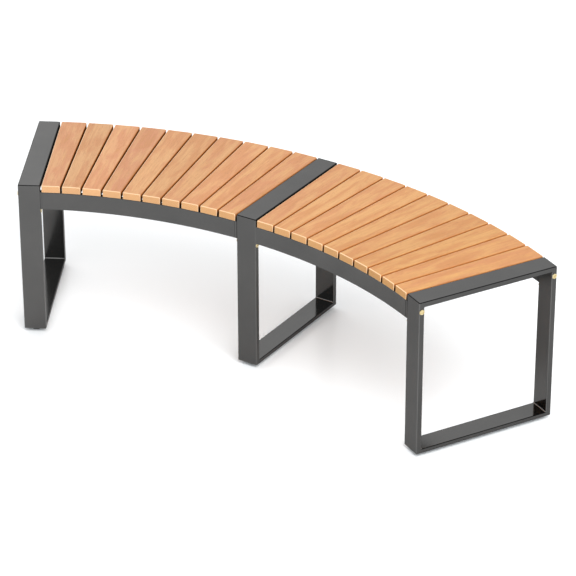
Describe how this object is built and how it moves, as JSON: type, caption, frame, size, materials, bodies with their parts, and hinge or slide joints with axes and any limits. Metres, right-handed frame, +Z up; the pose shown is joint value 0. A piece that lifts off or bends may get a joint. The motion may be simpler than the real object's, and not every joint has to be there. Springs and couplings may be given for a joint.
{
  "type": "curved tree bench",
  "caption": "Curved backless bench that stands round a tree: tapered hardwood slats lie on rolled steel rails between closed flat-bar loops on screw-in levelling feet.",
  "frame": {"origin": "middle of the bench's plan, on the floor that the feet rest on", "axes": "+Z up; +Y from the inner, concave edge towards the outer edge, along the middle loop; +X along the seat towards the right-hand end when the concave edge is in front"},
  "size_m": [1.6436, 0.5768, 0.45],
  "materials": {
    "frame_paint": "smooth dark grey powder coat, semi-gloss",
    "hardwood": "oiled, planed, warm orange tan",
    "screws": "yellow passivated zinc",
    "foot_pads": "black, matt",
    "foot_studs": "zinc plated"
  },
  "bodies": {
    "bench": {"end_frame_screws": "screws", "end_rail_plates": "frame_paint", "left_back_leg": "frame_paint", "left_back_rail": "frame_paint", "left_bottom_bar": "frame_paint", "left_front_leg": "frame_paint", "left_front_rail": "frame_paint", "left_top_bar": "frame_paint", "middle_back_leg": "frame_paint", "middle_bottom_bar": "frame_paint", "middle_frame_screws": "screws", "middle_front_leg": "frame_paint", "middle_rail_plates": "frame_paint", "middle_top_bar": "frame_paint", "rail_rest_screws": "screws", "right_back_leg": "frame_paint", "right_back_rail": "frame_paint", "right_bottom_bar": "frame_paint", "right_front_leg": "frame_paint", "right_front_rail": "frame_paint", "right_top_bar": "frame_paint", "slat_01": "hardwood", "slat_02": "hardwood", "slat_03": "hardwood", "slat_04": "hardwood", "slat_05": "hardwood", "slat_06": "hardwood", "slat_07": "hardwood", "slat_08": "hardwood", "slat_09": "hardwood", "slat_10": "hardwood", "slat_11": "hardwood", "slat_12": "hardwood", "slat_13": "hardwood", "slat_14": "hardwood", "slat_15": "hardwood", "slat_16": "hardwood", "slat_17": "hardwood", "slat_18": "hardwood", "slat_19": "hardwood", "slat_20": "hardwood"},
    "left_front_foot": {"left_front_foot_pad": "foot_pads", "left_front_foot_stud": "foot_studs"},
    "left_back_foot": {"left_back_foot_pad": "foot_pads", "left_back_foot_stud": "foot_studs"},
    "middle_front_foot": {"middle_front_foot_pad": "foot_pads", "middle_front_foot_stud": "foot_studs"},
    "middle_back_foot": {"middle_back_foot_pad": "foot_pads", "middle_back_foot_stud": "foot_studs"},
    "right_front_foot": {"right_front_foot_pad": "foot_pads", "right_front_foot_stud": "foot_studs"},
    "right_back_foot": {"right_back_foot_pad": "foot_pads", "right_back_foot_stud": "foot_studs"}
  },
  "joints": [
    {"name": "left_front_foot_levelling", "type": "slide", "parent": "bench", "child": "left_front_foot", "axis": [0, 0, 1], "range_m": [-0.005, 0]},
    {"name": "left_back_foot_levelling", "type": "slide", "parent": "bench", "child": "left_back_foot", "axis": [0, 0, 1], "range_m": [-0.005, 0]},
    {"name": "middle_front_foot_levelling", "type": "slide", "parent": "bench", "child": "middle_front_foot", "axis": [0, 0, 1], "range_m": [-0.005, 0]},
    {"name": "middle_back_foot_levelling", "type": "slide", "parent": "bench", "child": "middle_back_foot", "axis": [0, 0, 1], "range_m": [-0.005, 0]},
    {"name": "right_front_foot_levelling", "type": "slide", "parent": "bench", "child": "right_front_foot", "axis": [0, 0, 1], "range_m": [-0.005, 0]},
    {"name": "right_back_foot_levelling", "type": "slide", "parent": "bench", "child": "right_back_foot", "axis": [0, 0, 1], "range_m": [-0.005, 0]}
  ]
}
